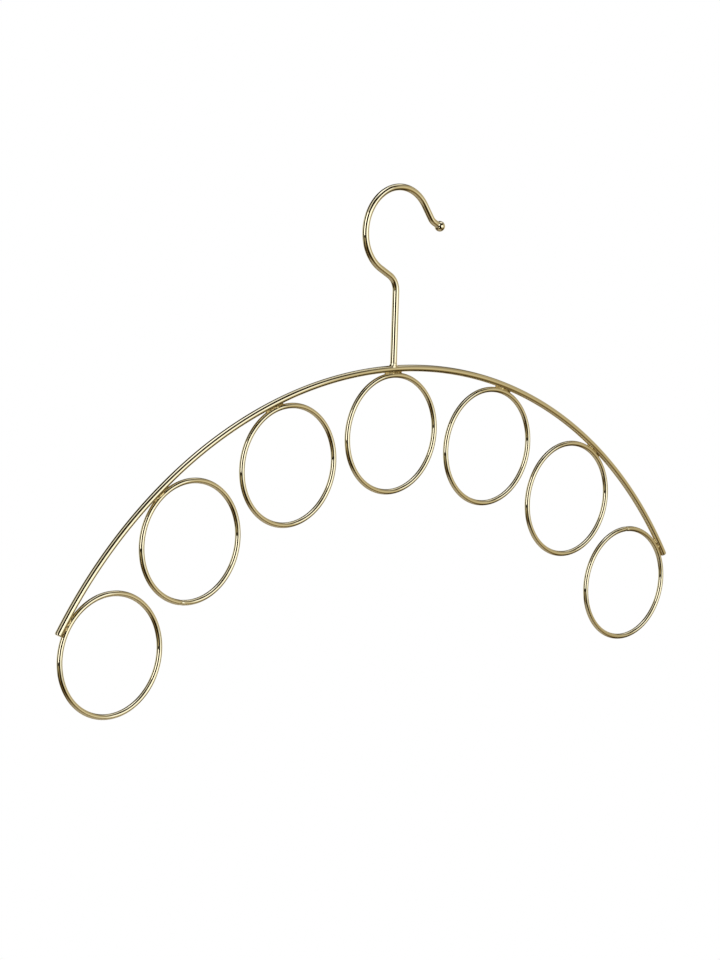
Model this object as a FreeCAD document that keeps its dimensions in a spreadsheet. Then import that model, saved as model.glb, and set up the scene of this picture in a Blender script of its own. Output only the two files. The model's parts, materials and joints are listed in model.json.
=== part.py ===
import FreeCAD, Part
import math
import os

import Sketcher
from FreeCAD import Rotation, Vector

# Scarf hanger of round steel wire, in millimetres, with Z up and X along the shoulder bar.
# A wire bent to a shallow arc carries a row of closed rings under it and an open hook on top of it.
# Every centre line lies in the XZ plane, and the wires are held together by small braze fillets.
# The origin is the place under the crown of the hook that bears on a closet rod.

# Driving sizes: name, value in millimetres (or degrees, or a count) and what it sets
SIZES = (
    ("bar_wire_diameter", 3.7, "Wire of the shoulder bar"),
    ("bar_bend_radius", 260.0, "Bend of the shoulder bar, to the middle of its wire"),
    ("bar_end_overhang", 7.0, "Bar past the middle of each outer ring's weld"),
    ("bar_end_ease", 0.6, "Rounding of the bar's cut ends"),
    ("ring_count", 7, "Rings in the row, a count"),
    ("ring_wire_diameter", 3.0, "Wire of the rings"),
    ("ring_inner_diameter", 60.0, "Clear opening of a ring"),
    ("ring_gap", 7.2, "Clear space between neighbouring rings"),
    ("hook_wire_diameter", 3.7, "Wire of the hook"),
    ("hook_stem_length", 39.5, "Straight stem, from its foot to the neck bend"),
    ("neck_bend_radius", 10.0, "Neck bend, to the middle of the wire"),
    ("neck_run", 8.0, "Straight stretch between the neck bend and the round of the hook"),
    ("hook_inner_diameter", 42.3, "Clear opening of the hook's round"),
    ("hook_sweep_angle", 205.0, "Turn of the hook's round, in degrees"),
    ("tip_run", 8.5, "Straight stretch after the hook's round"),
    ("tip_bend_radius", 8.0, "Outward bend of the tip, to the middle of the wire"),
    ("tip_turn_angle", 29.0, "Turn of the tip's bend, in degrees"),
    ("tip_end_run", 1.9, "Straight stretch from the tip's bend to the ball"),
    ("tip_ball_diameter", 5.8, "Ball on the tip"),
    ("braze_gap", 0.15, "Root gap that the braze fills between two wires"),
    ("ring_weld_length", 12.5, "Braze fillet along the bar"),
    ("ring_weld_height", 2.6, "Braze fillet across the bar and the ring"),
    ("ring_weld_depth", 2.6, "Braze fillet from front to back"),
    ("hook_weld_diameter", 5.3, "Braze collar at its foot"),
    ("hook_weld_height", 1.4, "Braze collar above the foot of the stem"),
    ("hook_weld_skirt", 1.2, "Braze collar below the foot of the stem"),
    ("hook_weld_lip", 0.15, "Thickness of the collar's top edge"),
)

# Sizes and places worked out from the driving sizes, each as a formula for its cell
WORKED_OUT = (
    ("ring_radius", "(ring_inner_diameter + ring_wire_diameter) / 2"),
    ("hook_radius", "(hook_inner_diameter + hook_wire_diameter) / 2"),
    ("bar_underside_radius", "bar_bend_radius - bar_wire_diameter / 2"),
    ("ring_weld_radius", "bar_underside_radius - braze_gap / 2"),
    ("ring_row_radius", "bar_underside_radius - braze_gap - ring_wire_diameter / 2 - ring_radius"),
    ("ring_spacing", "ring_inner_diameter + 2 * ring_wire_diameter + ring_gap"),
    ("ring_step_angle", "2 * asin(ring_spacing / (2 * ring_row_radius))"),
    ("bar_overhang_angle", "bar_end_overhang / bar_bend_radius * 1 rad"),
    ("bar_sweep_angle", "(ring_count - 1) * ring_step_angle + 2 * bar_overhang_angle"),
    # The neck turns by the angle that brings the middle of the hook's round over the stem
    ("neck_reach", "hook_radius + neck_bend_radius"),
    ("neck_span", "sqrt(neck_reach ^ 2 + neck_run ^ 2)"),
    ("neck_turn_angle", "acos(neck_bend_radius / neck_span) - atan(neck_run / neck_reach)"),
    ("neck_rise", "neck_reach * sin(neck_turn_angle) + neck_run * cos(neck_turn_angle)"),
    # Heights of the hook's round, the foot of the stem and the middle of the bar's bend
    ("hook_round_z", "0 - hook_inner_diameter / 2"),
    ("stem_foot_z", "hook_round_z - neck_rise - hook_stem_length"),
    ("bar_bend_z", "stem_foot_z - braze_gap - bar_wire_diameter / 2 - bar_bend_radius"),
    # Directions of the tip's two straight stretches, measured up from the X axis
    ("tip_run_heading", "90 deg + neck_turn_angle - hook_sweep_angle * 1 deg"),
    ("tip_end_heading", "tip_run_heading + tip_turn_angle * 1 deg"),
    # The ball has a flat as wide as the wire, and its middle lies this far past the wire's end
    ("ball_seat", "sqrt(tip_ball_diameter ^ 2 - hook_wire_diameter ^ 2) / 2"),
    ("ball_run", "tip_end_run + ball_seat"),
    ("ball_x", "tip_run * cos(tip_run_heading) - (hook_radius + tip_bend_radius) * sin(tip_run_heading)"
               " + tip_bend_radius * sin(tip_end_heading) + ball_run * cos(tip_end_heading)"),
    ("ball_z", "hook_round_z"
               " + tip_run * sin(tip_run_heading) + (hook_radius + tip_bend_radius) * cos(tip_run_heading)"
               " - tip_bend_radius * cos(tip_end_heading) + ball_run * sin(tip_end_heading)"),
)

# The hook's centre line as a bender makes it, from the foot of the stem up
HOOK_BENDS = (
    ("run", "hook_stem_length"),
    ("left", "neck_bend_radius", "neck_turn_angle"),
    ("run", "neck_run"),
    ("right", "hook_radius", "hook_sweep_angle"),
    ("run", "tip_run"),
    ("left", "tip_bend_radius", "tip_turn_angle"),
    ("run", "tip_end_run"),
)

ORIGIN = Vector(0, 0, 0)
X_AXIS = Vector(1, 0, 0)
Y_AXIS = Vector(0, 1, 0)
SKETCH_NORMAL = Vector(0, 0, 1)
QUARTER_TURN = 90
HALF_PI = math.pi / 2

# How a sketch numbers the points of a line or an arc, and its own two axes
START, END, MIDDLE = range(1, 4)
SKETCH_X_AXIS, SKETCH_Y_AXIS = range(-1, -3, -1)
SKETCH_ORIGIN = (SKETCH_X_AXIS, START)


def make_sheet(doc):
    """The driving sizes as plain numbers, then the worked-out ones as formulas, one row each."""
    sheet = doc.addObject("Spreadsheet::Sheet", "Sizes")
    rows = [(name, str(value), words) for name, value, words in SIZES]
    rows += [(name, "=" + formula, "Worked out") for name, formula in WORKED_OUT]
    for row, (name, content, words) in enumerate(rows, start=1):
        sheet.set(f"A{row}", words)
        sheet.set(f"B{row}", content)
        sheet.setAlias(f"B{row}", name)
    doc.recompute()
    return sheet


def number(sheet, name):
    """A cell's value as a plain number, in millimetres or degrees."""
    value = sheet.get(name)
    return float(getattr(value, "Value", value))


def bind(thing, **formulas):
    """Tie properties of an object to the sheet: a double underscore stands for a dot."""
    for name, formula in formulas.items():
        thing.setExpression(name.replace("__", "."), formula)


def new_body(doc, label):
    """An empty body under its own label."""
    body = doc.addObject("PartDesign::Body", label)
    body.Label = label
    return body


def new_sketch(body, name, role):
    """An empty sketch on one of the body's own origin planes."""
    sketch = body.newObject("Sketcher::SketchObject", name)
    plane = [feature for feature in body.Origin.OriginFeatures if feature.Role == role][0]
    sketch.AttachmentSupport = [(plane, "")]
    sketch.MapMode = "FlatFace"
    return sketch


def size_constraint(sketch, name, formula, *definition):
    """Add a named dimension to a sketch and tie it to the sheet."""
    index = sketch.addConstraint(Sketcher.Constraint(*definition))
    sketch.renameConstraint(index, name)
    sketch.setExpression("Constraints." + name, formula)


def draw_wire_section(sketch, sheet, wire, height=None):
    """A wire's round section, on the sketch's origin or at a height straight above it."""
    centre = ORIGIN if height is None else Vector(0, number(sheet, height), 0)
    radius = number(sheet, wire) / 2
    circle = sketch.addGeometry(Part.Circle(centre, SKETCH_NORMAL, radius))
    if height is None:
        sketch.addConstraint(Sketcher.Constraint("Coincident", circle, MIDDLE, *SKETCH_ORIGIN))
    else:
        sketch.addConstraint(Sketcher.Constraint("PointOnObject", circle, MIDDLE, SKETCH_Y_AXIS))
        size_constraint(sketch, "height", f"Sizes.{height}",
                        "DistanceY", *SKETCH_ORIGIN, circle, MIDDLE, centre.y)
    size_constraint(sketch, "wire", f"Sizes.{wire}", "Diameter", circle, 2 * radius)


def draw_bends(sketch, sheet, bends):
    """A wire's centre line from the sketch's origin upwards, each stretch tangent to the last."""
    point = ORIGIN
    heading = HALF_PI
    last = None
    for kind, *names in bends:
        ahead = Vector(math.cos(heading), math.sin(heading), 0)
        length = number(sheet, names[0])
        if kind == "run":
            target = point + ahead * length
            piece = sketch.addGeometry(Part.LineSegment(point, target))
            first, second = START, END
            measures = (("Distance", piece, length),)
        else:
            side = 1 if kind == "left" else -1
            turn = math.radians(number(sheet, names[1]))
            centre = point + Vector(-ahead.y, ahead.x, 0) * (side * length)
            from_centre = heading - side * HALF_PI
            ends = sorted((from_centre, from_centre + side * turn))
            circle = Part.Circle(centre, SKETCH_NORMAL, length)
            piece = sketch.addGeometry(Part.ArcOfCircle(circle, *ends))
            first, second = (START, END) if kind == "left" else (END, START)
            heading += side * turn
            target = centre + Vector(math.sin(heading), -math.cos(heading), 0) * (side * length)
            measures = (("Radius", piece, length), ("Angle", piece, turn))
        if last is None:
            sketch.addConstraint(Sketcher.Constraint("Coincident", piece, first, *SKETCH_ORIGIN))
            sketch.addConstraint(Sketcher.Constraint("Vertical", piece))
        else:
            sketch.addConstraint(Sketcher.Constraint("Tangent", *last, piece, first))
        for name, measure in zip(names, measures):
            size_constraint(sketch, name, f"Sizes.{name}", *measure)
        last = (piece, second)
        point = target


def make_shoulder_bar(doc, sheet):
    """The wire's section turned about the middle of the bend, with both cut ends eased."""
    body = new_body(doc, "shoulder_bar")
    section = new_sketch(body, "bar_section", "YZ_Plane")
    draw_wire_section(section, sheet, "bar_wire_diameter", "bar_bend_radius")
    bend = body.newObject("PartDesign::Revolution", "bar_bend")
    bend.Profile = section
    bend.ReferenceAxis = (section, ["H_Axis"])
    bend.Midplane = True
    bind(bend, Angle="Sizes.bar_sweep_angle")
    doc.recompute()
    wire_radius = number(sheet, "bar_wire_diameter") / 2
    ends = [
        f"Edge{index}" for index, edge in enumerate(bend.Shape.Edges, start=1)
        if isinstance(edge.Curve, Part.Circle) and math.isclose(edge.Curve.Radius, wire_radius)
    ]
    ease = body.newObject("PartDesign::Fillet", "bar_end_rounding")
    ease.Base = (bend, ends)
    bind(ease, Radius="Sizes.bar_end_ease")
    bind(body, Placement__Base__z="Sizes.bar_bend_z")
    return body


def make_hook_wire(doc, sheet):
    """The wire's section carried along the hook's runs and bends."""
    body = new_body(doc, "hook_wire")
    path = new_sketch(body, "hook_path", "XZ_Plane")
    draw_bends(path, sheet, HOOK_BENDS)
    section = new_sketch(body, "hook_section", "XY_Plane")
    draw_wire_section(section, sheet, "hook_wire_diameter")
    doc.recompute()
    sweep = body.newObject("PartDesign::AdditivePipe", "hook_sweep")
    sweep.Profile = section
    sweep.Spine = path
    bind(body, Placement__Base__z="Sizes.stem_foot_z")
    return body


def make_tip_ball(doc, sheet):
    """A ball with a flat as wide as the wire, turned so that the flat meets the wire's end."""
    body = new_body(doc, "hook_tip_ball")
    section = new_sketch(body, "ball_section", "XZ_Plane")
    ball_radius = number(sheet, "tip_ball_diameter") / 2
    seat = number(sheet, "ball_seat")
    seat_angle = -math.asin(seat / ball_radius)
    circle = Part.Circle(ORIGIN, SKETCH_NORMAL, ball_radius)
    rim = section.addGeometry(Part.ArcOfCircle(circle, seat_angle, HALF_PI))
    flat_edge = Vector(ball_radius * math.cos(seat_angle), -seat, 0)
    flat_middle = Vector(0, -seat, 0)
    pole = Vector(0, ball_radius, 0)
    flat = section.addGeometry(Part.LineSegment(flat_middle, flat_edge))
    axis = section.addGeometry(Part.LineSegment(pole, flat_middle))
    for definition in (
        ("Coincident", rim, MIDDLE, *SKETCH_ORIGIN),
        ("Coincident", rim, START, flat, END),
        ("Coincident", rim, END, axis, START),
        ("Coincident", axis, END, flat, START),
        ("PointOnObject", rim, END, SKETCH_Y_AXIS),
        ("Vertical", axis),
        ("Horizontal", flat),
    ):
        section.addConstraint(Sketcher.Constraint(*definition))
    size_constraint(section, "ball", "Sizes.tip_ball_diameter", "Diameter", rim, 2 * ball_radius)
    size_constraint(section, "seat", "Sizes.ball_seat", "DistanceY", flat, START, *SKETCH_ORIGIN, seat)
    ball = body.newObject("PartDesign::Revolution", "ball_turning")
    ball.Profile = section
    ball.ReferenceAxis = (section, ["V_Axis"])
    body.Placement.Rotation = Rotation(Y_AXIS, QUARTER_TURN)
    bind(body, Placement__Base__x="Sizes.ball_x", Placement__Base__z="Sizes.ball_z",
         Placement__Rotation__Angle="90 deg - Sizes.tip_end_heading")
    return body


def ring_angle(place):
    """How far a ring stands from the top of the bar's bend, for its place 0, 1, 2 and so on."""
    return f"(Sizes.ring_step_angle * ({place} - (Sizes.ring_count - 1) / 2))"


def make_ring(doc, place):
    """A closed ring of wire, one braze gap under the bar, in its place in the row."""
    label = f"ring_{place + 1}"
    ring = doc.addObject("Part::Torus", label)
    ring.Label = label
    ring.Placement.Rotation = Rotation(X_AXIS, QUARTER_TURN)
    bind(ring, Radius1="Sizes.ring_radius", Radius2="Sizes.ring_wire_diameter / 2",
         Placement__Base__x=f"Sizes.ring_row_radius * sin({ring_angle(place)})",
         Placement__Base__z=f"Sizes.bar_bend_z + Sizes.ring_row_radius * cos({ring_angle(place)})")
    return ring


def cut_to_seat(doc, label, blank, wires):
    """A braze fillet: a blank that is cut back to the wires that it joins."""
    for count, wire in enumerate(wires, start=1):
        last = count == len(wires)
        cut = doc.addObject("Part::Cut", label if last else f"{label}_cut_{count}")
        cut.Base = blank
        cut.Tool = wire
        blank = cut
    blank.Label = label
    return blank


def make_ring_weld(doc, place, bar, ring):
    """A long drop of braze between a ring and the bar, cut by both of them."""
    label = f"ring_weld_{place + 1}"
    drop = doc.addObject("Part::Ellipsoid", f"{label}_drop")
    drop.Placement.Rotation = Rotation(Y_AXIS, QUARTER_TURN)
    bind(drop, Radius1="Sizes.ring_weld_height / 2", Radius2="Sizes.ring_weld_length / 2",
         Radius3="Sizes.ring_weld_depth / 2",
         Placement__Rotation__Angle=ring_angle(place),
         Placement__Base__x=f"Sizes.ring_weld_radius * sin({ring_angle(place)})",
         Placement__Base__z=f"Sizes.bar_bend_z + Sizes.ring_weld_radius * cos({ring_angle(place)})")
    return cut_to_seat(doc, label, drop, (bar, ring))


def make_hook_weld(doc, sheet, bar, hook):
    """A flared collar of braze round the foot of the stem, cut by the bar and the stem."""
    body = new_body(doc, "hook_weld_collar")
    section = new_sketch(body, "collar_section", "XZ_Plane")
    foot = number(sheet, "hook_weld_diameter") / 2
    top = number(sheet, "hook_wire_diameter") / 2 + number(sheet, "hook_weld_lip")
    height = number(sheet, "hook_weld_height")
    skirt = number(sheet, "hook_weld_skirt")
    flare = foot - top
    rise = height + skirt
    flare_radius = (flare ** 2 + rise ** 2) / (2 * flare)
    circle = Part.Circle(Vector(top + flare_radius, height, 0), SKETCH_NORMAL, flare_radius)
    corners = (Vector(0, height, 0), Vector(0, -skirt, 0), Vector(foot, -skirt, 0), Vector(top, height, 0))
    axis = section.addGeometry(Part.LineSegment(corners[0], corners[1]))
    base = section.addGeometry(Part.LineSegment(corners[1], corners[2]))
    side = section.addGeometry(
        Part.ArcOfCircle(circle, math.pi, math.pi + math.asin(rise / flare_radius)))
    lid = section.addGeometry(Part.LineSegment(corners[3], corners[0]))
    for definition in (
        ("Coincident", axis, END, base, START),
        ("Coincident", base, END, side, END),
        ("Coincident", side, START, lid, START),
        ("Coincident", lid, END, axis, START),
        ("PointOnObject", axis, START, SKETCH_Y_AXIS),
        ("Vertical", axis),
        ("Horizontal", base),
        ("Horizontal", lid),
        ("Horizontal", side, START, side, MIDDLE),
    ):
        section.addConstraint(Sketcher.Constraint(*definition))
    size_constraint(section, "foot", "Sizes.hook_weld_diameter / 2", "Distance", base, foot)
    size_constraint(section, "top", "Sizes.hook_wire_diameter / 2 + Sizes.hook_weld_lip",
                    "Distance", lid, top)
    size_constraint(section, "height", "Sizes.hook_weld_height",
                    "DistanceY", *SKETCH_ORIGIN, axis, START, height)
    size_constraint(section, "skirt", "Sizes.hook_weld_skirt",
                    "DistanceY", axis, END, *SKETCH_ORIGIN, skirt)
    collar = body.newObject("PartDesign::Revolution", "collar_turning")
    collar.Profile = section
    collar.ReferenceAxis = (section, ["V_Axis"])
    bind(body, Placement__Base__z="Sizes.stem_foot_z")
    return cut_to_seat(doc, "hook_weld", body, (bar, hook))


def check(doc, pieces):
    """Stop if anything in the document failed, or a piece is not one sound solid."""
    for thing in doc.Objects:
        if "Invalid" in thing.State or "Error" in thing.State:
            raise RuntimeError(f"{thing.Label} failed: {thing.State}")
        if thing.isDerivedFrom("Sketcher::SketchObject") and not thing.FullyConstrained:
            raise RuntimeError(f"{thing.Label} is not fully constrained")
    for piece in pieces:
        shape = piece.Shape
        if shape.isNull() or not shape.isValid() or len(shape.Solids) != 1:
            raise RuntimeError(f"{piece.Label} is not one sound solid")


def main():
    doc = FreeCAD.newDocument("scarf_hanger")
    sheet = make_sheet(doc)
    bar = make_shoulder_bar(doc, sheet)
    hook = make_hook_wire(doc, sheet)
    pieces = [bar, hook, make_tip_ball(doc, sheet)]
    for place in range(int(number(sheet, "ring_count"))):
        ring = make_ring(doc, place)
        pieces += [ring, make_ring_weld(doc, place, bar, ring)]
    pieces.append(make_hook_weld(doc, sheet, bar, hook))
    doc.recompute()
    check(doc, pieces)
    os.makedirs("parts", exist_ok=True)
    for piece in pieces:
        piece.Shape.exportStep(f"parts/{piece.Label}.step")
        print(f"{piece.Label}: {piece.Shape.Volume:.2f} cubic millimetres")


main()
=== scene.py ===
import json
import math

import bpy
import numpy as np
from bpy.props import FloatProperty, FloatVectorProperty, PointerProperty
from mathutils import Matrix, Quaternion, Vector


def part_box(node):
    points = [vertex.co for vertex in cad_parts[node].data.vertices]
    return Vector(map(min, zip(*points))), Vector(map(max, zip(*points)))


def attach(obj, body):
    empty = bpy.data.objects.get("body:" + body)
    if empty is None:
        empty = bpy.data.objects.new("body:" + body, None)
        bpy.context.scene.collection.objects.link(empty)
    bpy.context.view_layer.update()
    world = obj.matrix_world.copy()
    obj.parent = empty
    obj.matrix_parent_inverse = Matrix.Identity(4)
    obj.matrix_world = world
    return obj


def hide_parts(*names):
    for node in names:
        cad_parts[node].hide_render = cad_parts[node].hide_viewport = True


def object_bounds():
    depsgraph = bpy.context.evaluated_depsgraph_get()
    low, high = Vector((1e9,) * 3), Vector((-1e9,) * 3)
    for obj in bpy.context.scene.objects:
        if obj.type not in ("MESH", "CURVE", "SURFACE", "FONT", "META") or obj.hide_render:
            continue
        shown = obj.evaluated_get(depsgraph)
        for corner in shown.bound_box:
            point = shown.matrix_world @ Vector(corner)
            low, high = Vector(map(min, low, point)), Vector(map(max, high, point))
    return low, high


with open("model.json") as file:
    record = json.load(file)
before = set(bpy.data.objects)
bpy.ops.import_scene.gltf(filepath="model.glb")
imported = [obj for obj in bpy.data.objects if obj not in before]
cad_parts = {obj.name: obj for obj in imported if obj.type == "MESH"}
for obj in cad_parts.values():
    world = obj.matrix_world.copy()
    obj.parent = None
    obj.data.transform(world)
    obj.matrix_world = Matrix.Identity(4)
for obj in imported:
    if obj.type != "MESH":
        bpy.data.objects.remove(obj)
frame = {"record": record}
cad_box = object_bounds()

bl_info = {
    "name": "Scarf Hanger",
    "version": (1, 0, 0),
    "blender": (4, 5, 0),
    "location": "View3D > Sidebar > Hanger",
    "description": "Builds a gold-plated wire hanger with a row of rings for scarves, and its studio",
    "category": "Add Mesh",
}

MM = 0.001
PHOTO_HEIGHT_PX = 960

# Places and sizes that the frame gives: the rings, the rod's seat, the bar's bend and the stem's foot
mounts = {mount["name"]: mount for mount in frame["record"]["mounts"]}
RING_MOUNTS = sorted(name for name in mounts if name.startswith("ring_"))
RING_CENTRES = np.array([mounts[name]["pos_m"] for name in RING_MOUNTS])
RING_LOOP = mounts[RING_MOUNTS[0]]["dims"]
ROD_SEAT = mounts["rod_seat"]["dims"]
ring_half_width = RING_CENTRES[-1, 0]
ring_drop = RING_CENTRES[:, 2].max() - RING_CENTRES[-1, 2]
ROW_RADIUS = (ring_half_width ** 2 + ring_drop ** 2) / (2 * ring_drop)
BEND_Z = RING_CENTRES[:, 2].max() - ROW_RADIUS
RING_TURNS = np.arctan2(RING_CENTRES[:, 0], RING_CENTRES[:, 2] - BEND_Z)
BAR_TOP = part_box("shoulder_bar")[1].z
BAR_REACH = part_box("shoulder_bar")[1].x
STEM_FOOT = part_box("hook_wire")[0].z
LOWEST = cad_box[0].z
# Seams that show, as turns from the top of a ring towards +X; the others lie under their welds
SEAM_TURNS = {2: math.radians(190), 7: math.radians(0)}

# Fineness of the surfaces: steps along the wires, stations along a ring, and points round each wire
BAR_STEP = 0.8 * MM
HOOK_STEP = 0.5 * MM
RING_STATIONS = 400
RING_SIDES = 40
WIRE_SIDES = 48
# How much narrower a surface is where it ends out of sight inside a wire
HIDDEN_SHARE = 0.5


def linear(hex_colour):
    """An sRGB hex colour as linear red, green and blue."""
    share = np.array([int(hex_colour[i:i + 2], 16) for i in (1, 3, 5)]) / 255
    return tuple(np.where(share > 0.04045, ((share + 0.055) / 1.055) ** 2.4, share / 12.92))


def length(name, millimetres, description):
    """A size as a property, kept in metres."""
    return FloatProperty(name=name, description=description, default=millimetres * MM,
                         min=0, precision=5, unit="LENGTH", subtype="DISTANCE")


def angle(name, degrees, description):
    """An angle as a property, kept in radians."""
    return FloatProperty(name=name, description=description, default=math.radians(degrees), subtype="ANGLE")


def share(name, default, description):
    """A share from none to all as a property."""
    return FloatProperty(name=name, description=description, default=default, min=0, max=1, subtype="FACTOR")


def colour(name, hex_colour, description):
    """A colour as a property, kept in linear light."""
    return FloatVectorProperty(name=name, description=description, default=linear(hex_colour),
                               min=0, max=1, size=3, subtype="COLOR")


class HangerSizes(bpy.types.PropertyGroup):
    """Sizes of the wires, the bends and the braze"""

    bar_wire: length("Bar Wire", 3.7, "Diameter of the shoulder bar's wire")
    bar_ease: length("Bar End Ease", 0.6, "Rounding of the bar's cut ends")
    ring_wire: length("Ring Wire", RING_LOOP["length_mm"], "Diameter of the rings' wire")
    ring_opening: length("Ring Opening", 2 * RING_LOOP["r_mm"], "Clear opening of a ring")
    ring_seam: length("Ring Seam", 1.6, "Width of the butt seam that closes a ring")
    ring_seam_depth: length("Ring Seam Depth", 0.12, "How far the wire necks down at a ring's seam")
    hook_wire: length("Hook Wire", ROD_SEAT["length_mm"], "Diameter of the hook's wire")
    hook_opening: length("Hook Opening", 2 * ROD_SEAT["r_mm"], "Clear opening of the hook's round")
    stem: length("Stem", 39.5, "Straight stem, from its foot to the neck bend")
    neck_radius: length("Neck Radius", 10, "Neck bend, to the middle of the wire")
    neck_run: length("Neck Run", 8, "Straight stretch between the neck and the hook's round")
    hook_sweep: angle("Hook Sweep", 205, "Turn of the hook's round")
    tip_run: length("Tip Run", 8.5, "Straight stretch after the hook's round")
    tip_radius: length("Tip Radius", 8, "Outward bend of the tip, to the middle of the wire")
    tip_turn: angle("Tip Turn", 29, "Turn of the tip's bend")
    tip_end: length("Tip End", 1.9, "Straight stretch from the tip's bend to the ball")
    ball: length("Ball", 5.8, "Diameter of the ball on the tip")
    ball_neck: length("Ball Neck", 0.8, "Fillet from the ball back along the wire")
    weld_length: length("Ring Weld Length", 12.5, "Braze between a ring and the bar, along the bar")
    weld_depth: length("Ring Weld Depth", 2.6, "Braze between a ring and the bar, from front to back")
    collar_height: length("Collar Height", 1.4, "Braze up the stem from its foot")
    collar_reach: length("Collar Reach", 2.8, "Braze along the bar from the middle of the stem")
    collar_wrap: angle("Collar Wrap", 78, "How far the braze wraps round the bar")
    # Painted shade: how far from each joint it browns the plating
    joint_shade_reach: length("Heat Reach", 6, "How far the heat of brazing has browned the plating")


class HangerFinish(bpy.types.PropertyGroup):
    """Colours and gloss of the plating"""

    gold: colour("Plating", "#D7C89E", "Pale gold plating on the wire")
    # Painted shade: the plating and the braze turn browner, with dark pits in the braze, in the crevices
    # where the rings and the stem meet the bar
    joint_shade: colour("Heated Plating", "#BEA468", "Plating that the heat of brazing has browned")
    braze: colour("Braze", "#C6AE74", "Plating over the braze, browned by the torch")
    shade_pit: colour("Braze Pits", "#3A2408", "Burnt flux in the pits of the braze")
    roughness: share("Roughness", 0.03, "Roughness of the polished plating")
    braze_roughness: share("Braze Roughness", 0.14, "Roughness of the plating over the braze")
    draw_line: length("Draw Line", 0.35, "Width of the lines that drawing leaves along the wire")
    draw_line_length: length("Draw Line Length", 18, "Length of the lines along the wire")
    spot: length("Spot", 0.9, "Size of the spots near the braze")
    # Painted shade at the foot of the stem and on its braze collar, where the stem meets the bar
    stem_joint_shade: share("Stem Heat", 0.4, "How far brazing has browned the foot of the stem")
    collar_joint_shade: share("Collar Heat", 0.15, "How far brazing has browned the collar round the stem")


class HangerStage(bpy.types.PropertyGroup):
    """Camera, floor and light"""

    camera_azimuth: angle("Camera Azimuth", -42.15,
                          "Camera's turn round the hanger, to the right of its front")
    camera_elevation: angle("Camera Elevation", 8.57, "Camera's angle above the horizon")
    camera_roll: angle("Camera Roll", 1.8, "Camera's turn about its own line of sight")
    camera_distance: length("Camera Distance", 1710.7, "Camera's distance from the point that it aims at")
    aim_x: FloatProperty(name="Aim Across", description="Point that the camera aims at, along the bar",
                         default=-21.5 * MM, precision=5, unit="LENGTH", subtype="DISTANCE")
    aim_z: FloatProperty(name="Aim Height", description="Point that the camera aims at, above the rod's seat",
                         default=-153.6 * MM, precision=5, unit="LENGTH", subtype="DISTANCE")
    focal_px: FloatProperty(name="Focal Length", description="Focal length in pixels of the picture's height",
                            default=3211.6, min=1)
    floor_drop: length("Floor Drop", 300, "Floor below the lowest ring")
    floor_radius: length("Floor Radius", 400, "Radius of the floor")
    floor: colour("Floor", "#EEE6D6", "Pale floor")
    floor_lift: share("Floor Lift", 0.42, "Light that the floor adds to its own in the camera's eye")
    floor_image: share("Floor Image", 0.09,
                       "Light that the floor adds to its own in the metal's mirror images")


def stretch(start, heading, span, bend, step):
    """One stretch of a wire's centre line in the XZ plane, straight or an arc, as places and headings.

    A straight stretch is its start plus the distance along its heading. On an arc the heading
    turns evenly with the distance, and the place is the integral of the heading's cosine and sine.
    """
    s = np.linspace(0, span, max(2, math.ceil(span / step) + 1))
    if bend == 0:
        headings = np.full_like(s, heading)
        places = start + s[:, None] * np.array([math.cos(heading), math.sin(heading)])
    else:
        headings = heading + bend * s
        turned = np.stack([np.sin(headings) - math.sin(heading), math.cos(heading) - np.cos(headings)], -1)
        places = start + turned / bend
    return s, places, headings


def bent_wire(start, heading, stretches, step):
    """A wire's whole centre line from its stretches, each a length and a curvature, tangent to the last."""
    distance = 0
    lines = []
    for span, bend in stretches:
        s, places, headings = stretch(start, heading, span, bend, step)
        first = 1 if lines else 0
        lines.append((distance + s[first:], places[first:], headings[first:]))
        distance += span
        start = places[-1]
        heading = headings[-1]
    return tuple(np.concatenate(column) for column in zip(*lines))


def tube(places, headings, radii, around):
    """A wire's surface: a circle of the given radius, square to the centre line at each of its places.

    Point (i, j) is place i plus its radius times cosine j along the normal in the plane of the bend,
    plus its radius times sine j along Y.
    """
    turn = np.linspace(0, 2 * np.pi, around, endpoint=False)
    normal = np.stack([-np.sin(headings), np.zeros_like(headings), np.cos(headings)], -1)
    centre = np.stack([places[:, 0], np.zeros_like(headings), places[:, 1]], -1)
    radii = np.broadcast_to(np.reshape(radii, (len(headings), -1)), (len(headings), around))
    points = centre[:, None] + (radii * np.cos(turn))[..., None] * normal[:, None]
    points[..., 1] += radii * np.sin(turn)
    return points


def fillet_curve(start, corner, end, v):
    """A fillet's curve, which leaves its start towards a corner and comes in to its end from there.

    A point is the start times (1 - v) squared, plus the corner times 2 v (1 - v), plus the end times
    v squared.
    """
    return (1 - v) ** 2 * start + 2 * v * (1 - v) * corner + v ** 2 * end


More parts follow.
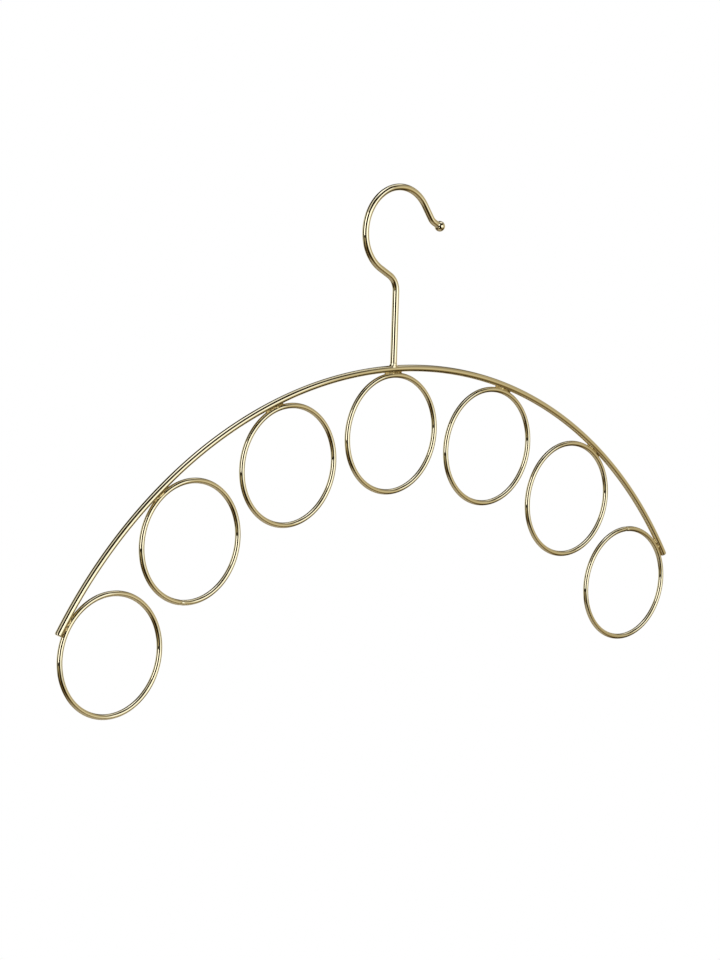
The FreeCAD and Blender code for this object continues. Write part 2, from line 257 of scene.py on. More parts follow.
def grid_piece(name, points, loop, along, across, heat=0):
    """A closed piece from a grid of points whose columns always close into a ring.

    With loop the rows close into a ring as well, and without it a pole closes each end. Along and
    across are the piece's UV map in millimetres, one value per row and one per column, with one
    more than there are rows or columns where they close. Heat is how much painted shade browns
    each point near a joint, or all of them.
    """
    rows, columns = points.shape[:2]
    spans = rows if loop else rows - 1
    i, j = np.meshgrid(np.arange(spans), np.arange(columns), indexing="ij")
    corner_rows = np.stack([i, i + 1, i + 1, i], -1).reshape(-1)
    corner_columns = np.stack([j, j, j + 1, j + 1], -1).reshape(-1)
    corners = corner_rows % rows * columns + corner_columns % columns
    starts = np.arange(0, len(corners), 4)
    vertices = points.reshape(-1, 3)
    if not loop:
        vertices = np.concatenate([vertices, points[[0, -1]].mean(axis=1)])
        here = np.arange(columns)
        after = here + 1
        first_pole = np.full(columns, rows * columns)
        end_row = (rows - 1) * columns
        first_fan = np.stack([first_pole, here, after % columns], -1)
        last_fan = np.stack([first_pole + 1, end_row + after % columns, end_row + here], -1)
        fans = np.concatenate([first_fan, last_fan])
        starts = np.concatenate([starts, len(corners) + np.arange(0, fans.size, 3)])
        corners = np.concatenate([corners, fans.reshape(-1)])
        corner_rows = np.concatenate([corner_rows, np.repeat([0, rows - 1], 3 * columns)])
        fan_columns = [np.stack([here, here, after], -1), np.stack([here, after, here], -1)]
        corner_columns = np.concatenate([corner_columns, np.concatenate(fan_columns).reshape(-1)])
    mesh = bpy.data.meshes.new(name)
    mesh.vertices.add(len(vertices))
    mesh.vertices.foreach_set("co", vertices.reshape(-1).astype(np.float32))
    mesh.loops.add(len(corners))
    mesh.loops.foreach_set("vertex_index", corners.astype(np.int32))
    mesh.polygons.add(len(starts))
    mesh.polygons.foreach_set("loop_start", starts.astype(np.int32))
    mesh.polygons.foreach_set("use_smooth", np.ones(len(starts), bool))
    mesh.update(calc_edges=True)
    uv = np.stack([np.asarray(along)[corner_rows], np.asarray(across)[corner_columns]], -1)
    mesh.uv_layers.new(name="wire_mm").uv.foreach_set("vector", uv.reshape(-1).astype(np.float32))
    # Painted shade near the joints, one value per point, which the materials use to brown the plating
    browned = np.resize(heat, len(vertices)).astype(np.float32)
    mesh.attributes.new("painted_joint_shade", "FLOAT", "POINT").data.foreach_set("value", browned)
    if mesh.validate():
        raise RuntimeError(f"{name} has faulty faces")
    piece = bpy.data.objects.new(name, mesh)
    bpy.context.scene.collection.objects.link(piece)
    return piece


def finish_piece(piece, node_name, material):
    """Dress a piece, let it ride on the hanger and stand for its solid."""
    piece.data.materials.append(material)
    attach(piece, "root")
    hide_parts(node_name)


def add_node(tree, kind, inputs=None, **settings):
    """Add a node with its settings; an input that is a socket is linked, and any other is set."""
    made = tree.nodes.new(kind)
    for name, value in settings.items():
        setattr(made, name, value)
    for key, value in (inputs or {}).items():
        if isinstance(value, bpy.types.NodeSocket):
            tree.links.new(value, made.inputs[key])
        else:
            made.inputs[key].default_value = value
    return made


def new_material(name):
    """An empty node material and its output node."""
    material = bpy.data.materials.new(name)
    material.use_nodes = True
    material.node_tree.nodes.clear()
    return material, add_node(material.node_tree, "ShaderNodeOutputMaterial")


def gold_plated_wire(finish):
    """Steel wire, drawn, bent, polished and plated pale gold.

    The eye gets sharp mirror bands along the wire, broken a little by the long lines that drawing
    leaves, and a browner, spotted stretch of painted shade on the sides where wires meet at a joint.
    The lines are drawn several times wider than on real wire, which would not show.
    """
    found = bpy.data.materials.get("gold_plated_drawn_steel_wire")
    if found:
        return found
    material, output = new_material("gold_plated_drawn_steel_wire")
    tree = material.node_tree
    uv = add_node(tree, "ShaderNodeUVMap", uv_map="wire_mm").outputs["UV"]
    lines_scale = (MM / finish.draw_line_length, MM / finish.draw_line, 1)
    lines_place = add_node(tree, "ShaderNodeMapping", {
        "Vector": uv, "Scale": lines_scale}, vector_type="POINT")
    lines = add_node(tree, "ShaderNodeTexNoise", {
        "Vector": lines_place.outputs["Vector"], "Scale": 1.0, "Detail": 3.0, "Roughness": 0.6})
    spots_scale = (MM / finish.spot, MM / finish.spot, 1)
    spots_place = add_node(tree, "ShaderNodeMapping", {
        "Vector": uv, "Scale": spots_scale}, vector_type="POINT")
    spots = add_node(tree, "ShaderNodeTexNoise", {
        "Vector": spots_place.outputs["Vector"], "Scale": 1.0, "Detail": 4.0, "Roughness": 0.55})
    # Painted shade near the joints, broken into spots, makes the plating browner and duller
    heat = add_node(tree, "ShaderNodeAttribute", attribute_name="painted_joint_shade").outputs["Fac"]
    spotted = add_node(tree, "ShaderNodeMapRange", {
        "Value": spots.outputs["Fac"], "From Min": 0.38, "From Max": 0.62, "To Min": 0.45, "To Max": 1.0})
    joint_shade = add_node(tree, "ShaderNodeMath", {0: heat, 1: spotted.outputs["Result"]}, operation="MULTIPLY")
    tint = add_node(tree, "ShaderNodeMix", {
        "Factor": joint_shade.outputs["Value"], "A": (*finish.gold, 1), "B": (*finish.joint_shade, 1)},
        data_type="RGBA")
    gloss = add_node(tree, "ShaderNodeMapRange", {
        "Value": lines.outputs["Fac"], "From Min": 0.3, "From Max": 0.7,
        "To Min": finish.roughness * 0.8, "To Max": finish.roughness * 1.3})
    dull = add_node(tree, "ShaderNodeMath", {
        0: joint_shade.outputs["Value"], 1: finish.braze_roughness - finish.roughness,
        2: gloss.outputs["Result"]}, operation="MULTIPLY_ADD")
    relief = add_node(tree, "ShaderNodeBump", {
        "Height": lines.outputs["Fac"], "Strength": 0.03, "Distance": 0.01 * MM})
    shader = add_node(tree, "ShaderNodeBsdfPrincipled", {
        "Base Color": tint.outputs["Result"], "Metallic": 1.0, "Roughness": dull.outputs["Value"],
        "Normal": relief.outputs["Normal"]})
    tree.links.new(shader.outputs["BSDF"], output.inputs["Surface"])
    return material


def gold_plated_braze(finish):
    """Braze that ran and froze between two wires, plated with them.

    The eye gets small glossy lumps, browner with dark pits where painted shade fills the crevice, gold
    elsewhere.
    Pits are where a noise with lumps of about a millimetre is low.
    """
    found = bpy.data.materials.get("gold_plated_braze_fillet")
    if found:
        return found
    material, output = new_material("gold_plated_braze_fillet")
    tree = material.node_tree
    place = add_node(tree, "ShaderNodeTexCoord").outputs["Object"]
    lumps = add_node(tree, "ShaderNodeTexNoise", {
        "Vector": place, "Scale": 1 / finish.spot, "Detail": 3.0, "Roughness": 0.55})
    # Painted shade in the crevice between the wires: browner braze with dark pits where the lumps are low
    heat = add_node(tree, "ShaderNodeAttribute", attribute_name="painted_joint_shade").outputs["Fac"]
    low = add_node(tree, "ShaderNodeMapRange", {
        "Value": lumps.outputs["Fac"], "From Min": 0.32, "From Max": 0.52, "To Min": 1.0, "To Max": 0.0})
    shaded_pits = add_node(tree, "ShaderNodeMath", {0: heat, 1: low.outputs["Result"]}, operation="MULTIPLY")
    shaded_tint = add_node(tree, "ShaderNodeMix", {
        "Factor": heat, "A": (*finish.gold, 1), "B": (*finish.braze, 1)}, data_type="RGBA")
    tint = add_node(tree, "ShaderNodeMix", {
        "Factor": shaded_pits.outputs["Value"], "A": shaded_tint.outputs["Result"], "B": (*finish.shade_pit, 1)},
        data_type="RGBA")
    gloss = add_node(tree, "ShaderNodeMapRange", {
        "Value": shaded_pits.outputs["Value"], "To Min": finish.roughness, "To Max": finish.braze_roughness})
    relief = add_node(tree, "ShaderNodeBump", {
        "Height": lumps.outputs["Fac"], "Strength": 0.8, "Distance": 0.25 * MM})
    shader = add_node(tree, "ShaderNodeBsdfPrincipled", {
        "Base Color": tint.outputs["Result"], "Metallic": 1.0, "Roughness": gloss.outputs["Result"],
        "Normal": relief.outputs["Normal"]})
    tree.links.new(shader.outputs["BSDF"], output.inputs["Surface"])
    return material


def hook_line(sizes):
    """The hook's centre line from the foot of the stem to the ball, as a bender makes it."""
    hook_radius = (sizes.hook_opening + sizes.hook_wire) / 2
    reach = hook_radius + sizes.neck_radius
    # The neck turns by the angle that brings the middle of the hook's round over the stem
    neck_span = math.hypot(reach, sizes.neck_run)
    neck_turn = math.acos(sizes.neck_radius / neck_span) - math.atan2(sizes.neck_run, reach)
    stretches = (
        (sizes.stem, 0),
        (sizes.neck_radius * neck_turn, 1 / sizes.neck_radius),
        (sizes.neck_run, 0),
        (hook_radius * sizes.hook_sweep, -1 / hook_radius),
        (sizes.tip_run, 0),
        (sizes.tip_radius * sizes.tip_turn, 1 / sizes.tip_radius),
        (sizes.tip_end, 0),
    )
    return bent_wire(np.array([0, STEM_FOOT]), math.pi / 2, stretches, HOOK_STEP)


def bar_radius(sizes):
    """Bend of the bar, to the middle of its wire."""
    return BAR_TOP - BEND_Z - sizes.bar_wire / 2


def painted_shade_near_joint(distance, sizes):
    """How much painted shade browns the plating near a joint: e to the power of minus the square of distance
    over reach.
    """
    return np.exp(-(distance / sizes.joint_shade_reach) ** 2)


def sides_up(sides):
    """How far each point round a wire looks along the wire's normal: the cosine of its turn."""
    return np.cos(np.linspace(0, 2 * np.pi, sides, endpoint=False))


def turn_from(turn, place):
    """The turn from a place on a ring, the short way round."""
    return (turn - place + np.pi) % (2 * np.pi) - np.pi


class HANGER_OT_shoulder_bar(bpy.types.Operator):
    """Bend the shoulder bar and ease its cut ends"""

    bl_idname = "hanger.shoulder_bar"
    bl_label = "Shoulder Bar"

    def execute(self, context):
        sizes = context.scene.hanger_sizes
        radius = bar_radius(sizes)
        wire = sizes.bar_wire / 2
        # Turn at which the eased corner of an end stands as far out as the solid's
        corner = radius + wire - sizes.bar_ease
        half_turn = (math.asin((BAR_REACH - sizes.bar_ease) / math.hypot(corner, sizes.bar_ease))
                     + math.atan2(sizes.bar_ease, corner))
        span = 2 * half_turn * radius
        s = np.linspace(0, span, math.ceil(span / BAR_STEP) + 1)
        # The ends: a flat face, then a quarter round up to the full wire
        quarter = np.linspace(0, np.pi / 2, 9)
        end_s = np.concatenate([[0], sizes.bar_ease * (1 - np.cos(quarter))])
        end_r = wire - sizes.bar_ease * (1 - np.sin(quarter))
        end_r = np.concatenate([[0.8 * end_r[0]], end_r])
        middle = (s > 1.2 * sizes.bar_ease) & (s < s[-1] - 1.2 * sizes.bar_ease)
        stations = np.concatenate([end_s, s[middle], s[-1] - end_s[::-1]])
        radii = np.concatenate([end_r, np.full(middle.sum(), wire), end_r[::-1]])
        headings = half_turn - stations / radius
        places = np.stack([-radius * np.sin(headings), BEND_Z + radius * np.cos(headings)], -1)
        points = tube(places, headings, radii, WIRE_SIDES)
        to_ring = np.abs(-headings[:, None] - RING_TURNS).min(axis=1) * radius
        to_stem = np.abs(headings) * radius
        up = sides_up(WIRE_SIDES)
        # Painted shade on the underside of the bar near each ring, where the ring meets it
        ring_joint_shade = painted_shade_near_joint(to_ring, sizes)[:, None] * np.clip(-up, 0, 1)
        # Painted shade on the top of the bar round the stem's small collar, which reaches half as far
        stem_joint_shade = painted_shade_near_joint(2 * to_stem, sizes)[:, None] * np.clip(up, 0, 1)
        piece = grid_piece("shoulder_bar_wire", points, False, stations / MM,
                           np.linspace(0, np.pi * sizes.bar_wire / MM, WIRE_SIDES + 1),
                           np.maximum(ring_joint_shade, stem_joint_shade))
        finish_piece(piece, "shoulder_bar", gold_plated_wire(context.scene.hanger_finish))
        return {"FINISHED"}


class HANGER_OT_rings(bpy.types.Operator):
    """Close the row of rings, each with its butt seam"""

    bl_idname = "hanger.rings"
    bl_label = "Rings"

    def execute(self, context):
        sizes = context.scene.hanger_sizes
        material = gold_plated_wire(context.scene.hanger_finish)
        wire = sizes.ring_wire / 2
        radius = sizes.ring_opening / 2 + wire
        turn = np.linspace(0, 2 * np.pi, RING_STATIONS, endpoint=False)
        outward = np.clip(sides_up(RING_SIDES), 0, 1)
        for number, (centre, at_bar) in enumerate(zip(RING_CENTRES, RING_TURNS), start=1):
            places = centre[[0, 2]] + radius * np.stack([np.sin(turn), np.cos(turn)], -1)
            # A seam that shows necks the wire down over a short stretch
            radii = np.full_like(turn, wire)
            if number in SEAM_TURNS:
                from_seam = 2 * radius * turn_from(turn, SEAM_TURNS[number])
                radii -= sizes.ring_seam_depth * np.exp(-(from_seam / sizes.ring_seam) ** 2)
            points = tube(places, -turn, radii, RING_SIDES)
            # Painted shade on each ring's outer side near the bar, where the ring meets it
            from_bar = np.abs(turn_from(turn, at_bar)) * radius
            piece = grid_piece(f"ring_{number}_wire", points, True,
                               np.linspace(0, 2 * np.pi * radius / MM, RING_STATIONS + 1),
                               np.linspace(0, 2 * np.pi * wire / MM, RING_SIDES + 1),
                               painted_shade_near_joint(from_bar, sizes)[:, None] * outward)
            finish_piece(piece, f"ring_{number}", material)
        return {"FINISHED"}


class HANGER_OT_hook(bpy.types.Operator):
    """Bend the hook from one wire"""

    bl_idname = "hanger.hook"
    bl_label = "Hook"

    def execute(self, context):
        sizes = context.scene.hanger_sizes
        finish = context.scene.hanger_finish
        wire = sizes.hook_wire / 2
        s, places, headings = hook_line(sizes)
        points = tube(places, headings, np.full_like(s, wire), WIRE_SIDES)
        # Painted shade round the foot of the stem, where it meets the bar
        heat = finish.stem_joint_shade * painted_shade_near_joint(2 * s, sizes)
        piece = grid_piece("hook_bent_wire", points, False, s / MM,
                           np.linspace(0, 2 * np.pi * wire / MM, WIRE_SIDES + 1),
                           np.repeat(heat, WIRE_SIDES))
        finish_piece(piece, "hook_wire", gold_plated_wire(finish))
        return {"FINISHED"}


# Turn on the ball that its fillet takes up, and turn at which its surface closes into the pole
BALL_FILLET_TURN = 0.3
BALL_POLE_TURN = 0.02


def ball_profile(sizes, seat):
    """The ball's profile: distances along the wire from the ball's middle, and radii.

    It starts out of sight inside the wire. A fillet's curve then leaves the wire's surface and comes
    in to the ball, tangent to both, and the circle of the ball goes on to the pole.
    """
    ball = sizes.ball / 2
    wire = sizes.hook_wire / 2
    leave = math.pi - math.asin(wire / ball) - BALL_FILLET_TURN
    start = np.array([-seat - sizes.ball_neck, wire])
    end = ball * np.array([math.cos(leave), math.sin(leave)])
    corner = np.array([end[0] - (end[1] - wire) * math.tan(leave - math.pi / 2), wire])
    fillet = fillet_curve(start, corner, end, np.linspace(0, 1, 10)[:, None])
    polar = np.linspace(leave, BALL_POLE_TURN, 40)[1:]
    sphere = ball * np.stack([np.cos(polar), np.sin(polar)], -1)
    hidden = start * np.array([1, HIDDEN_SHARE])
    return np.concatenate([[hidden], fillet, sphere])


class HANGER_OT_tip_ball(bpy.types.Operator):
    """Set the ball on the hook's tip"""

    bl_idname = "hanger.tip_ball"
    bl_label = "Tip Ball"

    def execute(self, context):
        sizes = context.scene.hanger_sizes
        s, places, headings = hook_line(sizes)
        seat = math.sqrt(sizes.ball ** 2 - sizes.hook_wire ** 2) / 2
        profile = ball_profile(sizes, seat)
        axis = np.array([math.cos(headings[-1]), math.sin(headings[-1])])
        middles = places[-1] + (seat + profile[:, :1]) * axis
        points = tube(middles, np.full(len(profile), headings[-1]), profile[:, 1], WIRE_SIDES)
        along = np.concatenate([[0], np.linalg.norm(np.diff(profile, axis=0), axis=1).cumsum()]) / MM
        piece = grid_piece("hook_tip_bead", points, False, along,
                           np.linspace(0, np.pi * sizes.ball / MM, WIRE_SIDES + 1))
        finish_piece(piece, "hook_tip_ball", gold_plated_wire(context.scene.hanger_finish))
        return {"FINISHED"}


# Ring welds: where the end sections lie, how uneven the braze is, how much less of the ring than of
# the bar it covers, and how deep its waist may be
WELD_END_SHARE = 0.96
WELD_UNEVEN_SHARE = 0.05
WELD_ON_RING_SHARE = 0.94
WELD_WAIST_SHARE = 0.8


def ring_weld_surface(sizes, at_bar, t, phases):
    """The braze between a ring and the bar, one section for each share t of its half length.

    The braze reaches to the front by half its depth times the root of 1 minus t squared, with three
    sine waves that make it uneven. A fillet's curve goes from there on the bar's surface to the same
    place on the ring's, towards a corner where the two surfaces' tangents meet, and the back mirrors it.
    Sections stand square to the bar: X is the distance from the middle of the bend times the sine of
    the turn, Z is its cosine times that distance, and -Y is the reach to the front.
    """
    bar = bar_radius(sizes)
    bar_wire = sizes.bar_wire / 2
    ring_wire = sizes.ring_wire / 2
    ring = sizes.ring_opening / 2 + ring_wire
    waves = sum(np.sin((4 + 3 * k) * t + phase) for k, phase in enumerate(phases))
    depth = sizes.weld_depth / 2 * np.sqrt(1 - t ** 2) * (1 + WELD_UNEVEN_SHARE * waves)
    ring_depth = WELD_ON_RING_SHARE * depth
    bar_height = np.sqrt(bar_wire ** 2 - depth ** 2)
    ring_height = np.sqrt(ring_wire ** 2 - ring_depth ** 2)
    # Distance of the ring's centre line from the middle of the bend
    off = t * sizes.weld_length / 2 / bar
    ring_far = ROW_RADIUS * np.cos(off) + np.sqrt(ring ** 2 - (ROW_RADIUS * np.sin(off)) ** 2)
    on_bar = np.stack([depth, bar - bar_height], -1)
    on_ring = np.stack([ring_depth, ring_far + ring_height], -1)
    gap = on_bar[:, 1] - on_ring[:, 1]
    slopes = depth / bar_height + ring_depth / ring_height
    inset = np.minimum(gap / slopes, WELD_WAIST_SHARE * depth)
    corner = np.stack([depth - inset, on_bar[:, 1] - gap / 2], -1)
    v = np.linspace(1, 0, 9)[:, None]
    front = fillet_curve(on_bar[:, None], corner[:, None], on_ring[:, None], v)
    back = front[:, ::-1] * np.array([-1, 1])
    section = np.concatenate([front, back], axis=1)
    turn = (at_bar + off)[:, None]
    return np.stack([section[..., 1] * np.sin(turn), -section[..., 0],
                     BEND_Z + section[..., 1] * np.cos(turn)], -1)


class HANGER_OT_ring_welds(bpy.types.Operator):
    """Run the braze between each ring and the bar"""

    bl_idname = "hanger.ring_welds"
    bl_label = "Ring Welds"

    def execute(self, context):
        sizes = context.scene.hanger_sizes
        material = gold_plated_braze(context.scene.hanger_finish)
        random = np.random.default_rng(7)
        t = np.sin(np.linspace(-1, 1, 61) * WELD_END_SHARE * np.pi / 2)
        for number, at_bar in enumerate(RING_TURNS, start=1):
            points = ring_weld_surface(sizes, at_bar, t, random.uniform(0, 2 * np.pi, 3))
            # Painted shade over the whole braze of each ring
            piece = grid_piece(f"ring_weld_{number}_braze", points, False, t * sizes.weld_length / 2 / MM,
                               np.linspace(0, 2, points.shape[1] + 1), 1)
            finish_piece(piece, f"ring_weld_{number}", material)
        return {"FINISHED"}


# Collar: how uneven its edges are, how far it swells at the sides and how deep it ends inside the bar
COLLAR_UNEVEN_SHARES = (0.08, 0.05)
COLLAR_SWELL_SHARE = 1.03
COLLAR_SUNK_SHARE = 0.3


def collar_surface(sizes):
    """The braze round the foot of the stem, one column of points for each turn round the stem.

    Its top edge lies on the stem, its foot lies on the bar's round by the wrap times the sine of the
    turn, and a fillet's curve joins them, towards a corner on the bar's top along the bar and half
    way down at the sides. Two sine waves make both edges uneven. It closes out of sight inside.
    """
    bar_wire = sizes.bar_wire / 2
    stem = sizes.hook_wire / 2
    turn = np.linspace(2 * np.pi, 0, 72, endpoint=False)
    threes, fives = COLLAR_UNEVEN_SHARES
    uneven = 1 + threes * np.sin(3 * turn + 1) + fives * np.sin(5 * turn)
    top = np.stack([stem * np.cos(turn), stem * np.sin(turn),
                    STEM_FOOT + sizes.collar_height * uneven], -1)
    wrap = sizes.collar_wrap * np.sin(turn)
    foot = np.stack([sizes.collar_reach * np.cos(turn) * uneven, bar_wire * np.sin(wrap),
                     BAR_TOP - bar_wire + bar_wire * np.cos(wrap)], -1)
    corner_z = BAR_TOP * np.cos(turn) ** 2 + (top[:, 2] + foot[:, 2]) / 2 * np.sin(turn) ** 2
    corner = np.stack([top[:, 0], top[:, 1] * COLLAR_SWELL_SHARE, corner_z], -1)
    v = np.linspace(0, 1, 13)[:, None]
    skin = fillet_curve(top[:, None], corner[:, None], foot[:, None], v)
    narrower = np.array([HIDDEN_SHARE, HIDDEN_SHARE, 1])
    hidden_foot = foot * narrower - np.array([0, 0, COLLAR_SUNK_SHARE * bar_wire])
    hidden_top = top * narrower
    return np.concatenate([skin, hidden_foot[:, None], hidden_top[:, None]], axis=1)


class HANGER_OT_hook_weld(bpy.types.Operator):
    """Run the braze round the foot of the stem"""

    bl_idname = "hanger.hook_weld"
    bl_label = "Hook Weld"

    def execute(self, context):
        sizes = context.scene.hanger_sizes
        finish = context.scene.hanger_finish
        points = collar_surface(sizes)
        # A little painted shade over the collar's braze
        piece = grid_piece("hook_weld_braze", points, True,
                           np.linspace(0, np.pi * sizes.hook_wire / MM, len(points) + 1),
                           np.linspace(0, 3, points.shape[1] + 1), finish.collar_joint_shade)
        finish_piece(piece, "hook_weld", gold_plated_braze(finish))
        return {"FINISHED"}


# Studio surroundings as the metal shows them: cards with soft edges, by where they stand as seen from the
# hanger. Turn is from the camera to its right and height is above the horizon, both in degrees.
STUDIO_CARDS = (
    # name, from turn, to turn, from height, to height, soft edge, red, green, blue
    ("left wall", -134, -98, -42, 34, 8, 0.75, 0.82, 0.86),
    ("left rear wall", -160, -130, -9, 14, 6, 0.95, 1.00, 1.00),
    ("right wall", 90, 140, -16, 33, 8, 0.62, 0.58, 0.48),
    ("dark upper left", -215, -82, 22, 75, 5, 0.0, 0.0, 0.0),
    ("dark upper rear", 160, 215, 15, 55, 6, 0.0, 0.0, 0.0),
    ("dark low left", -130, -50, -62, -22, 6, 0.05, 0.04, 0.03),
    ("dark low right", 96, 148, -60, -22, 6, 0.04, 0.03, 0.02),
    ("dark low middle", 0, 54, -50, -21, 6, 0.08, 0.05, 0.0),
    ("dark camera side", -23, 36, -17, 64, 3, 0.01, 0.005, 0.0),
    ("dark camera foot", -15, 36, -52, -15, 3, 0.01, 0.005, 0.0),
    ("dark high front", -8, 105, 34, 68, 3, 0.01, 0.005, 0.0),
    ("right high panel", 104, 160, 44, 72, 8, 1.10, 1.15, 1.30),
    ("black flag", -90, -46, -29, 28, 4, 0.01, 0.01, 0.01),
    ("black box foot", -48, -26, -16, -6, 3, 0.01, 0.01, 0.01),
    ("left panel", -55, -23, 14, 70, 6, 1.10, 1.15, 1.25),
    ("left soft box", -41, -25, -11, 36, 3, 3.8, 4.1, 5.0),
    ("right box foot", 40, 60, -23, -12, 4, 0.80, 0.85, 0.95),
    ("right soft box", 34, 80, -15, 24, 4, 1.6, 1.75, 2.1),
    ("right bright edge", 34, 42, -10, 20, 3, 2.9, 3.1, 3.6),
    ("black stand", 89, 108, -17, -8, 3, 0.03, 0.02, 0.01),
)
# Colour of the studio by height, from the floor up: height in degrees, red, green, blue
STUDIO_HEIGHTS = (
    (-90, 0.45, 0.40, 0.36),
    (-60, 0.26, 0.21, 0.14),
    (-40, 0.18, 0.12, 0.04),
    (-22, 0.60, 0.53, 0.34),
    (0, 1.00, 0.99, 0.93),
    (30, 0.15, 0.12, 0.05),
    (60, 0.90, 0.95, 1.15),
    (67, 1.15, 1.25, 1.50),
    (90, 2.10, 2.30, 3.00),
)
# White backdrop behind the hanger: from which turn on either side, its foot and top, and their soft edges
BACKDROP_FROM, BACKDROP_EDGE = 140, 15
BACKDROP_FOOT, BACKDROP_TOP, BACKDROP_FADE = -34, 10, 10


def between(tree, place, first, last, edge):
    """How far a place lies inside a span: one within it and none outside, with a soft edge."""
    off = add_node(tree, "ShaderNodeMath", {0: place, 1: (first + last) / 2}, operation="SUBTRACT")
    away = add_node(tree, "ShaderNodeMath", {0: off.outputs["Value"]}, operation="ABSOLUTE")
    half = (last - first) / 2
    inside = add_node(tree, "ShaderNodeMapRange", {
        "Value": away.outputs["Value"], "From Min": half + edge / 2, "From Max": half - edge / 2},
        interpolation_type="SMOOTHSTEP")
    return inside.outputs["Result"]


def studio_world(stage):
    """White to the camera, and to the metal a studio: a white backdrop, soft boxes and darker cards."""
    world = bpy.data.worlds.new("studio")
    world.use_nodes = True
    tree = world.node_tree
    tree.nodes.clear()
    output = add_node(tree, "ShaderNodeOutputWorld")
    toward = add_node(tree, "ShaderNodeTexCoord").outputs["Generated"]
    turned = add_node(tree, "ShaderNodeVectorRotate", {
        "Vector": toward, "Axis": (0, 0, 1), "Angle": -stage.camera_azimuth}, rotation_type="AXIS_ANGLE")
    split = add_node(tree, "ShaderNodeSeparateXYZ", {"Vector": turned.outputs["Vector"]})
    ahead = add_node(tree, "ShaderNodeMath", {0: split.outputs["Y"], 1: -1.0}, operation="MULTIPLY")
    turn = add_node(tree, "ShaderNodeMath", {
        0: split.outputs["X"], 1: ahead.outputs["Value"]}, operation="ARCTAN2").outputs["Value"]
    turn = add_node(tree, "ShaderNodeMath", {0: turn}, operation="DEGREES").outputs["Value"]
    height = add_node(tree, "ShaderNodeMath", {0: split.outputs["Z"]}, operation="ARCSINE").outputs["Value"]
    height = add_node(tree, "ShaderNodeMath", {0: height}, operation="DEGREES").outputs["Value"]
    level = add_node(tree, "ShaderNodeMapRange", {"Value": height, "From Min": -90.0, "From Max": 90.0})
    ramp = add_node(tree, "ShaderNodeValToRGB", {"Fac": level.outputs["Result"]})
    for stop, (at, *rgb) in enumerate(STUDIO_HEIGHTS):
        where = (at + 90) / 180
        elements = ramp.color_ramp.elements
        element = elements[stop] if stop < 2 else elements.new(where)
        element.position = where
        element.color = (*rgb, 1)
    seen = ramp.outputs["Color"]
    for name, left, right, low, high, edge, *rgb in STUDIO_CARDS:
        window = add_node(tree, "ShaderNodeMath", {
            0: between(tree, turn, left, right, edge), 1: between(tree, height, low, high, edge)},
            operation="MULTIPLY")
        card = add_node(tree, "ShaderNodeMix", {
            "Factor": window.outputs["Value"], "A": seen, "B": (*rgb, 1)}, data_type="RGBA", label=name)
        seen = card.outputs["Result"]
    # The backdrop is white to the camera on every side, and behind the hanger to its mirror images too
    aside = between(tree, turn, -BACKDROP_FROM, BACKDROP_FROM, BACKDROP_EDGE)
    behind = add_node(tree, "ShaderNodeMath", {0: 1.0, 1: aside}, operation="SUBTRACT")
    backdrop = add_node(tree, "ShaderNodeMath", {
        0: behind.outputs["Value"], 1: between(tree, height, BACKDROP_FOOT, BACKDROP_TOP, BACKDROP_FADE)},
        operation="MULTIPLY")
    path = add_node(tree, "ShaderNodeLightPath")
    mirrored = add_node(tree, "ShaderNodeMath", {
        0: path.outputs["Is Glossy Ray"], 1: path.outputs["Is Transmission Ray"]}, operation="MAXIMUM")
    in_metal = add_node(tree, "ShaderNodeMath", {
        0: mirrored.outputs["Value"], 1: backdrop.outputs["Value"]}, operation="MULTIPLY")
    white = add_node(tree, "ShaderNodeMath", {
        0: path.outputs["Is Camera Ray"], 1: in_metal.outputs["Value"]}, operation="MAXIMUM")
    shown = add_node(tree, "ShaderNodeMix", {
        "Factor": white.outputs["Value"], "A": seen, "B": (1, 1, 1, 1)}, data_type="RGBA")
    background = add_node(tree, "ShaderNodeBackground", {"Color": shown.outputs["Result"], "Strength": 1.0})
    tree.links.new(background.outputs["Background"], output.inputs["Surface"])
    return world


# The floor is a round face of this many sides, and fades out from this share of its radius
FLOOR_SIDES = 96
FLOOR_FADE_SHARE = 0.5


def pale_floor(stage):
    """Matt pale paint, which fades out towards the floor's edge.

    The eye gets soft shadows on a pale ground, with no edge against the white round it. The paint
    glows a little in the camera's eye and in mirror images only, and lights nothing.
    """
    material, output = new_material("matt_pale_floor_paint")
    tree = material.node_tree
    place = add_node(tree, "ShaderNodeTexCoord").outputs["Object"]
    across = add_node(tree, "ShaderNodeVectorMath", {0: place, 1: (1, 1, 0)}, operation="MULTIPLY")
    out = add_node(tree, "ShaderNodeVectorMath", {0: across.outputs["Vector"]}, operation="LENGTH")
    fade = add_node(tree, "ShaderNodeMapRange", {
        "Value": out.outputs["Value"], "From Min": FLOOR_FADE_SHARE * stage.floor_radius,
        "From Max": stage.floor_radius}, interpolation_type="SMOOTHSTEP")
    matt = add_node(tree, "ShaderNodeBsdfDiffuse", {"Color": (*stage.floor, 1)})
    path = add_node(tree, "ShaderNodeLightPath")
    mirrored = add_node(tree, "ShaderNodeMath", {
        0: path.outputs["Is Glossy Ray"], 1: path.outputs["Is Transmission Ray"]}, operation="MAXIMUM")
    image = add_node(tree, "ShaderNodeMath", {
        0: mirrored.outputs["Value"], 1: stage.floor_image}, operation="MULTIPLY")
    lift = add_node(tree, "ShaderNodeMath", {
        0: path.outputs["Is Camera Ray"], 1: stage.floor_lift, 2: image.outputs["Value"]},
        operation="MULTIPLY_ADD")
    glow = add_node(tree, "ShaderNodeEmission", {
        "Color": (*stage.floor, 1), "Strength": lift.outputs["Value"]})
    lit = add_node(tree, "ShaderNodeAddShader", {0: matt.outputs["BSDF"], 1: glow.outputs["Emission"]})
    clear = add_node(tree, "ShaderNodeBsdfTransparent")
    mixed = add_node(tree, "ShaderNodeMixShader", {
        0: fade.outputs["Result"], 1: lit.outputs["Shader"], 2: clear.outputs["BSDF"]})
    tree.links.new(mixed.outputs["Shader"], output.inputs["Surface"])
    return material


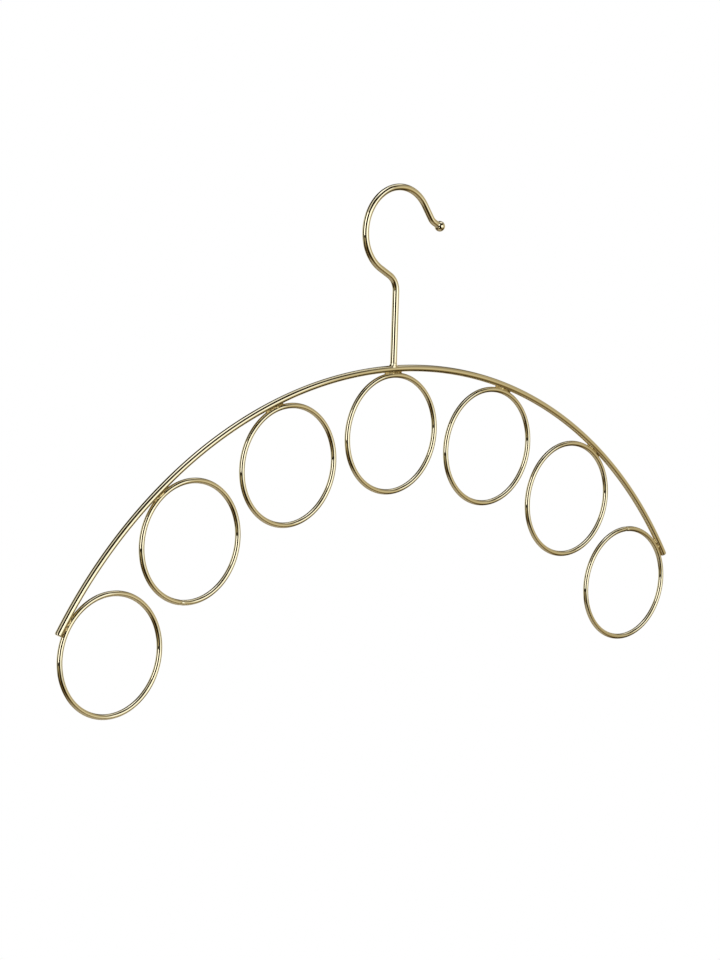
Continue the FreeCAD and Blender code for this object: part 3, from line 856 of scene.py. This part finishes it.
class HANGER_OT_stage(bpy.types.Operator):
    """Set the camera, the floor and the light"""

    bl_idname = "hanger.stage"
    bl_label = "Stage"

    def execute(self, context):
        scene = context.scene
        stage = scene.hanger_stage
        scene.view_settings.view_transform = "Standard"
        scene.world = studio_world(stage)
        azimuth, elevation = stage.camera_azimuth, stage.camera_elevation
        back = Vector((math.sin(azimuth) * math.cos(elevation), -math.cos(azimuth) * math.cos(elevation),
                       math.sin(elevation)))
        camera_data = bpy.data.cameras.new("camera")
        camera_data.sensor_fit = "AUTO"
        camera_data.lens = stage.focal_px / PHOTO_HEIGHT_PX * camera_data.sensor_width
        camera = bpy.data.objects.new("camera", camera_data)
        camera.location = Vector((stage.aim_x, 0, stage.aim_z)) + back * stage.camera_distance
        facing = back.to_track_quat("Z", "Y") @ Quaternion((0, 0, 1), stage.camera_roll)
        camera.rotation_euler = facing.to_euler()
        scene.collection.objects.link(camera)
        scene.camera = camera
        turn = np.linspace(0, 2 * np.pi, FLOOR_SIDES, endpoint=False)
        rim = np.stack([np.cos(turn), np.sin(turn), np.zeros_like(turn)], -1) * stage.floor_radius
        rim[:, 2] = LOWEST - stage.floor_drop
        floor_mesh = bpy.data.meshes.new("studio_floor")
        floor_mesh.from_pydata(rim.tolist(), [], [list(range(FLOOR_SIDES))])
        floor_mesh.materials.append(pale_floor(stage))
        floor = bpy.data.objects.new("studio_floor", floor_mesh)
        scene.collection.objects.link(floor)
        return {"FINISHED"}


OPERATORS = (
    HANGER_OT_shoulder_bar, HANGER_OT_rings, HANGER_OT_hook, HANGER_OT_tip_ball,
    HANGER_OT_ring_welds, HANGER_OT_hook_weld, HANGER_OT_stage,
)


class HANGER_PT_panel(bpy.types.Panel):
    """Sizes and finish of the hanger, and a button for each step"""

    bl_idname = "HANGER_PT_panel"
    bl_label = "Scarf Hanger"
    bl_space_type = "VIEW_3D"
    bl_region_type = "UI"
    bl_category = "Hanger"

    def draw(self, context):
        scene = context.scene
        for operator in OPERATORS:
            self.layout.operator(operator.bl_idname)
        for group in (scene.hanger_sizes, scene.hanger_finish, scene.hanger_stage):
            box = self.layout.box()
            for name in group.__annotations__:
                box.prop(group, name)


PROPERTY_GROUPS = {"hanger_sizes": HangerSizes, "hanger_finish": HangerFinish, "hanger_stage": HangerStage}
CLASSES = (*PROPERTY_GROUPS.values(), *OPERATORS, HANGER_PT_panel)


def register():
    for cls in CLASSES:
        bpy.utils.register_class(cls)
    for name, group in PROPERTY_GROUPS.items():
        setattr(bpy.types.Scene, name, PointerProperty(type=group))


def unregister():
    for name in PROPERTY_GROUPS:
        delattr(bpy.types.Scene, name)
    for cls in reversed(CLASSES):
        bpy.utils.unregister_class(cls)


def main():
    register()
    bpy.ops.hanger.shoulder_bar()
    bpy.ops.hanger.rings()
    bpy.ops.hanger.hook()
    bpy.ops.hanger.tip_ball()
    bpy.ops.hanger.ring_welds()
    bpy.ops.hanger.hook_weld()
    bpy.ops.hanger.stage()


if __name__ == "__main__":
    main()
